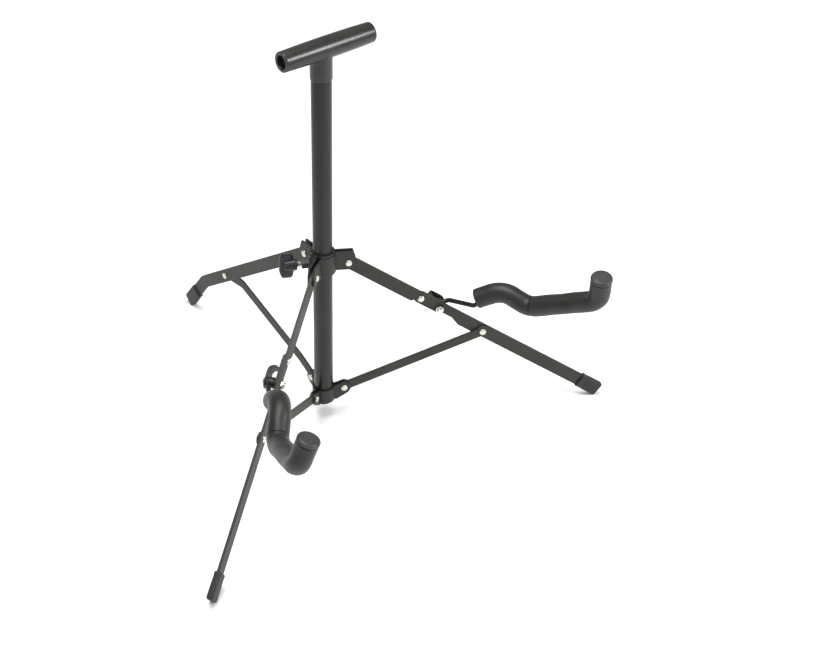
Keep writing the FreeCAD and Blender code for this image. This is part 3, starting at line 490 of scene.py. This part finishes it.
clamp = {"turn": 151.0, "up": 195.6, "start": 10.15, "end": 35.0, "radius": 3.0, "pitch": 1.25,
         "depth": 0.45, "knobStart": 26.4, "knobRadius": 6.4, "knobLength": 13.5,
         "wingStart": 29.0, "wingEnd": 44.6, "wingHalf": 15.0, "wingThick": 6.4, "roundness": 3.2}
clampTurn = math.radians(clamp["turn"])
clampAxis = np.array([math.cos(clampTurn), math.sin(clampTurn), 0])
clampSide = np.array([-math.sin(clampTurn), math.cos(clampTurn), 0])
clampOrigin = np.array([0, upright["setback"], clamp["up"]]) * mm


def buildScrew():
    # thread: radius = outer - depth * triangle wave of (length / pitch - turn)
    along = np.linspace(clamp["start"], clamp["end"], 240)[:, None]
    turn = np.linspace(0, 2 * math.pi, 49)[None]
    wave = np.abs(((along / clamp["pitch"] - turn / (2 * math.pi)) % 1) * 2 - 1)
    radius = clamp["radius"] - clamp["depth"] * wave
    body = np.stack([along + 0 * turn, radius * np.cos(turn), radius * np.sin(turn)], axis=-1)
    ends = [body[:1] * [1, 0, 0], body, body[-1:] * [1, 0, 0]]
    local = np.concatenate(ends) * mm
    space = np.stack([clampAxis, clampSide, [0, 0, 1]])
    return finish(meshFrom("threaded_screw", [local @ space + clampOrigin]), "clamp_screw", 60)


def buildKnob():
    # wings: an outline shrunk by (1 - v^p)^(1/p) while the thickness runs as v, so all its edges are round
    start, end, half = clamp["wingStart"], clamp["wingEnd"], clamp["wingHalf"]
    outline = softened([(end, 0), (end, half * 0.5), (end - 2.6, half), (start + 3.0, half),
                        (start + 1.6, half * 0.82), (start + 0.4, half * 0.45), (start, 0),
                        (start + 0.4, -half * 0.45), (start + 1.6, -half * 0.82), (start + 3.0, -half),
                        (end - 2.6, -half), (end, -half * 0.5), (end, 0)], 2.2, 7)
    centre = np.array([(start + end) / 2, 0])
    power = clamp["roundness"]
    across = np.sin(np.linspace(-math.pi / 2, math.pi / 2, 27))
    shrink = (1 - np.abs(across) ** power) ** (1 / power)
    flat = centre + shrink[:, None, None] * (outline - centre)
    thick = across[:, None] * clamp["wingThick"] / 2 * (0.8 + 0.2 * np.abs(flat[..., 1]) / half)
    wing = np.stack([flat[..., 0], thick, flat[..., 1]], axis=-1) * mm
    space = np.stack([clampAxis, clampSide, [0, 0, 1]])
    wing = wing @ space + clampOrigin
    # hub: a turned barrel with a waist between the wings and the nut
    radius, first = clamp["knobRadius"], clamp["knobStart"]
    profile = softened([(first + 6, 0), (first + 6, 3.1), (first, 3.1), (first, radius - 0.4),
                        (first + 3, radius), (first + 9, radius * 0.96),
                        (first + clamp["knobLength"], radius * 0.86), (first + clamp["knobLength"] + 2, 0)],
                       1.0)
    hub = turnedGrid(profile, clampOrigin, clampAxis, (0, 0, 1), 72)
    return finish(meshFrom("winged_knob", [wing, hub]), "wing_knob", 60)


buildScrew()
buildKnob()
print("clamp built")


slopes = {"front": 34.1, "rear": 35.7, "rearTail": 52.2}
runs = {"front": 334.53, "rearKnee": 246.3, "rearTail": 58.1}
foot = {"length": 27.5, "rearLength": 30.0, "height": 16.6, "thick": 7.6, "round": 2.4, "mouth": 1.1,
        "barHeight": 14.5, "barThick": 3.0, "grip": 0.4, "gripWidth": 0.8,
        "grips": (5.0, 8.2), "plug": 4.0}


def buildFoot(leg, origin, droop, run, length):
    # super-ellipse section (power 5) carried along the bar; both half sizes shrink round the closed end,
    # and at the mouth the wall turns in to the bar; anything below the floor is pressed flat
    turn = np.linspace(0, 2 * math.pi, 97)
    cosine, sine = np.cos(turn), np.sin(turn)
    reach = (np.abs(cosine) ** 5 + np.abs(sine) ** 5) ** (-1 / 5)
    edge = np.linspace(0, math.pi / 2, 8)
    closed = np.stack([run - foot["round"] * (1 - np.sin(edge)), foot["round"] * (1 - np.cos(edge))], -1)
    side = np.stack([np.linspace(run - foot["round"] - 0.6, run - length + foot["mouth"], 16),
                     np.zeros(16)], -1)
    lip = np.stack([run - length + foot["mouth"] * (1 - np.sin(edge)),
                    foot["mouth"] * (1 - np.cos(edge))], -1)
    path = np.concatenate([closed[::-1], side, lip])
    # two shallow grip grooves near the mouth
    fromMouth = path[:, 0] - (run - length)
    groove = sum(np.exp(-((fromMouth - place) / foot["gripWidth"]) ** 2) for place in foot["grips"])
    inset = path[:, 1] + foot["grip"] * groove
    halfHigh = foot["height"] / 2 - inset
    halfThick = foot["thick"] / 2 - inset
    pole = np.stack([np.full(97, run), 0 * turn, 0 * turn], -1)[None]
    skin = np.stack([path[:, :1] + 0 * turn, halfThick[:, None] * reach * cosine,
                     halfHigh[:, None] * reach * sine], -1)
    mouth = run - length
    inner = np.stack([np.stack([np.full(97, place), foot["barThick"] / 2 * scale * reach * cosine,
                                foot["barHeight"] / 2 * scale * reach * sine], -1)
                      for place, scale in ((mouth, 1), (mouth + foot["plug"], 1),
                                           (mouth + foot["plug"], 0))])
    local = np.concatenate([pole, skin, inner]) * mm
    out, sideways, up = legSpace(leg)
    tilt = math.radians(droop)
    along = out * math.cos(tilt) - up * math.sin(tilt)
    across = out * math.sin(tilt) + up * math.cos(tilt)
    place = local @ np.stack([along, sideways, across]) + origin
    place[..., 2] = np.maximum(place[..., 2], 0)
    return finish(meshFrom("rubber_foot_" + leg, [place]), "foot_" + leg, 60)


for leg in ("front_right", "front_left"):
    hinge = legPoint(leg, hubRivet["out"], legPlanes[leg], hubRivet["up"])
    buildFoot(leg, hinge, slopes["front"], runs["front"], foot["length"])
fall = math.radians(slopes["rear"])
knee = legPoint("rear", hubRivet["out"] + runs["rearKnee"] * math.cos(fall), 0,
                hubRivet["up"] - runs["rearKnee"] * math.sin(fall))
buildFoot("rear", knee, slopes["rearTail"], runs["rearTail"], foot["rearLength"])
print("feet built")


arm = {"foam": 10.6, "bore": 2.75, "edge": 1.3, "crest": 26.0, "seam": 20.0, "tip": 14.0,
       "capRadius": 10.9, "capThick": 5.0, "crease": 0.5, "creasePitch": 4.4, "creaseSpread": 9.0,
       "flatten": 0.45, "bulge": 0.25}
bendStrengths = {1: 0.8, 2: 0.6, 3: 1.3}
seamShares = {"right": 0.7, "left": 0.18}
armRoutes = {
    "right": {"end": (156.6, -17.4, 150.9), "crest": (182.0, -22.1, 163.4), "seam": (207.0, -40.4, 153.6),
              "tip": (266.6, -78.5, 183.8), "top": (265.3, -84.1, 216.0)},
    "left": {"end": (164.8, -10.8, 143.4), "crest": (179.0, -25.4, 161.2), "seam": (217.3, -35.5, 139.9),
             "tip": (272.6, -77.8, 171.1), "top": (267.4, -87.0, 201.4)},
}


def sleeve(name, node, path, length, first, last, bends, firstEdge, lastEdge):
    # tube wall as a closed loop (outer skin, end face, bore, end face) carried along the rod's route;
    # skin radius = foam - creases inside each bend - a flat outside it + slow waves of the soft wall
    count = int((last - first) / 0.8)
    edge = np.linspace(0, math.pi / 2, 6)
    startRound = np.stack([first + firstEdge * (1 - np.cos(edge)),
                           arm["foam"] - firstEdge * (1 - np.sin(edge))], -1)
    endRound = np.stack([last - lastEdge * (1 - np.cos(edge[::-1])),
                         arm["foam"] - lastEdge * (1 - np.sin(edge[::-1]))], -1)
    skin = np.stack([np.linspace(first + firstEdge + 0.5, last - lastEdge - 0.5, count),
                     np.full(count, arm["foam"])], -1)
    bore = np.stack([np.linspace(last, first, 30), np.full(30, arm["bore"])], -1)
    loop = np.concatenate([startRound, skin, endRound, bore, startRound[:1]])
    station = loop[:, 0]
    centre = np.stack([np.interp(station, length, path[:, k]) for k in range(3)], -1)
    ahead = unit(np.gradient(path, axis=0))
    ahead = unit(np.stack([np.interp(station, length, ahead[:, k]) for k in range(3)], -1))
    side = unit(np.cross(ahead, [0, 0, 1.0]))
    up = np.cross(side, ahead)
    turn = np.linspace(0, 2 * math.pi, 97)
    ring = side[:, None] * np.cos(turn)[None, :, None] + up[:, None] * np.sin(turn)[None, :, None]
    radius = loop[:, 1:2] + 0 * turn
    onSkin = np.clip((loop[:, 1:2] - 6) / 3, 0, 1)
    waves = (0.13 * np.sin(station[:, None] / 7.3 + 2 * turn)
             + 0.1 * np.sin(station[:, None] / 4.1 - 3 * turn))
    radius = radius + onSkin * waves
    for place, inward, strength in bends:
        near = np.exp(-((station - place) / arm["creaseSpread"]) ** 2)[:, None]
        facing = ring @ inward
        folds = 0.5 + 0.5 * np.cos(2 * math.pi * (station - place) / arm["creasePitch"])
        radius -= onSkin * near * np.clip(facing, 0, 1) ** 2 * (folds[:, None] * strength * arm["crease"])
        radius -= onSkin * near * np.clip(-facing, 0, 1) ** 3 * arm["flatten"] * strength
        radius += onSkin * near * (1 - facing ** 2) * arm["bulge"] * strength
    grid = (centre[:, None] + radius[..., None] * ring) * mm
    return finish(meshFrom(name, [grid]), node, 60)


def buildArm(side, leg):
    route = armRoutes[side]
    far = bracketSides[leg]
    corners = np.array([legPoint(leg, out, far * sideways, up)
                        for out, sideways, up in route.values()]) / mm
    capUp = unit(corners[4] - corners[3])
    capBase = corners[4] - capUp * arm["capThick"]
    corners[4] = capBase
    path, length = bentRoute(corners, (arm["crest"], arm["seam"], arm["tip"]))
    bends = []
    for number, strength in bendStrengths.items():
        place = length[np.argmin(np.linalg.norm(path - corners[number], axis=1))]
        back, ahead = corners[number - 1] - corners[number], corners[number + 1] - corners[number]
        inward = unit(unit(back) + unit(ahead))
        bends.append((place, inward, strength))
    # the joint between the sleeves lies this share of the way round the seam's bend
    swing = math.acos(unit(corners[2] - corners[1]) @ unit(corners[3] - corners[2]))
    seam = bends[1][0] + (seamShares[side] - 0.5) * arm["seam"] * swing
    sleeve("sleeve_inner_" + side, "foam_inner_" + side, path, length, 0, seam, bends, 1.6, arm["edge"])
    sleeve("sleeve_outer_" + side, "foam_outer_" + side, path, length, seam, length[-1], bends,
           arm["edge"], 0.8)
    # end cap: a shallow dome over a straight skirt, with a groove where it meets the sleeve
    radius, thick = arm["capRadius"], arm["capThick"]
    swing = np.linspace(0, math.pi / 2, 14)
    crown = np.stack([thick - 2.4 + 2.4 * np.sin(swing), radius - 2.6 + 2.6 * np.cos(swing)], -1)
    middle = np.stack([np.full(10, thick) + 0.35 * np.linspace(0, 1, 10) ** 0.5,
                       np.linspace(radius - 2.8, 0, 10)], -1)
    skirt = softened([(0.05, 0), (0.05, radius - 1.3), (0.75, radius - 1.3), (0.95, radius),
                      (2.0, radius)], 0.3)
    profile = np.concatenate([skirt, crown, middle])
    grid = turnedGrid(profile, capBase * mm, capUp, (1, 0, 0), 96)
    finish(meshFrom("end_cap_" + side, [grid]), "arm_cap_" + side, 50)


buildArm("right", "front_right")
buildArm("left", "front_left")
print("arms built")


floor = {"half": 4000.0, "drop": 0.2}
corner = floor["half"] * mm
level = -floor["drop"] * mm
sheet = bpy.data.meshes.new("floor")
sheet.from_pydata([(-corner, -corner, level), (corner, -corner, level), (corner, corner, level),
                   (-corner, corner, level)], [], [(0, 1, 2, 3)])
ground = bpy.data.objects.new("floor", sheet)
bpy.context.collection.objects.link(ground)
# matt backdrop paper: an even white that takes soft shadows, with a barely visible tone change
paper, paperTree, paperShader, paperWhere = newMaterial("matt paper", Roughness=0.95)
paperGrain = addNode(paperTree, "ShaderNodeTexNoise", {"Scale": perMetre(180), "Detail": 2.0},
                     Vector=paperWhere)
paperShade = ramp(paperTree, paperGrain.outputs["Fac"], linear("f2f2f2"), linear("f6f6f6"))
paperTree.links.new(paperShade, paperShader.inputs["Base Color"])
sheet.materials.append(paper)

lights = {
    "overhead": {"at": (-0.2, 0.1, 2.3), "size": 1.3, "power": 52},
    "left front": {"at": (-1.7, -1.5, 1.3), "size": 0.9, "power": 6},
    "right front": {"at": (0.9, -1.4, 1.12), "size": 0.5, "power": 22},
}
for name, light in lights.items():
    lamp = bpy.data.lights.new(name, "AREA")
    lamp.size = light["size"]
    lamp.energy = light["power"]
    holder = bpy.data.objects.new(name, lamp)
    holder.location = light["at"]
    holder.rotation_euler = (Vector((0, 0, 0.2)) - Vector(light["at"])).to_track_quat("-Z", "Y").to_euler()
    bpy.context.collection.objects.link(holder)

world = bpy.data.worlds.new("studio")
bpy.context.scene.world = world
world.use_nodes = True
world.node_tree.nodes["Background"].inputs["Color"].default_value = (1, 1, 1, 1)
world.node_tree.nodes["Background"].inputs["Strength"].default_value = 0.43
bpy.context.scene.view_settings.view_transform = "Standard"

camera = {"azimuth": -37.99, "elevation": 36.12, "at": (-769.96, -1034.69, 1045.81), "lens": 66.966,
          "shift": 0.0818}
eye = bpy.data.cameras.new("camera")
eye.lens = camera["lens"]
eye.sensor_width = 36.0
eye.shift_x = camera["shift"]
viewer = bpy.data.objects.new("camera", eye)
turn, lift = math.radians(camera["azimuth"]), math.radians(camera["elevation"])
back = Vector((math.sin(turn) * math.cos(lift), -math.cos(turn) * math.cos(lift), math.sin(lift)))
right = Vector((math.cos(turn), math.sin(turn), 0))
up = back.cross(right)
viewer.matrix_world = (Matrix.Translation(Vector(camera["at"]) * mm)
                       @ Matrix((right, up, back)).transposed().to_4x4())
bpy.context.collection.objects.link(viewer)
bpy.context.scene.camera = viewer
print("studio set")
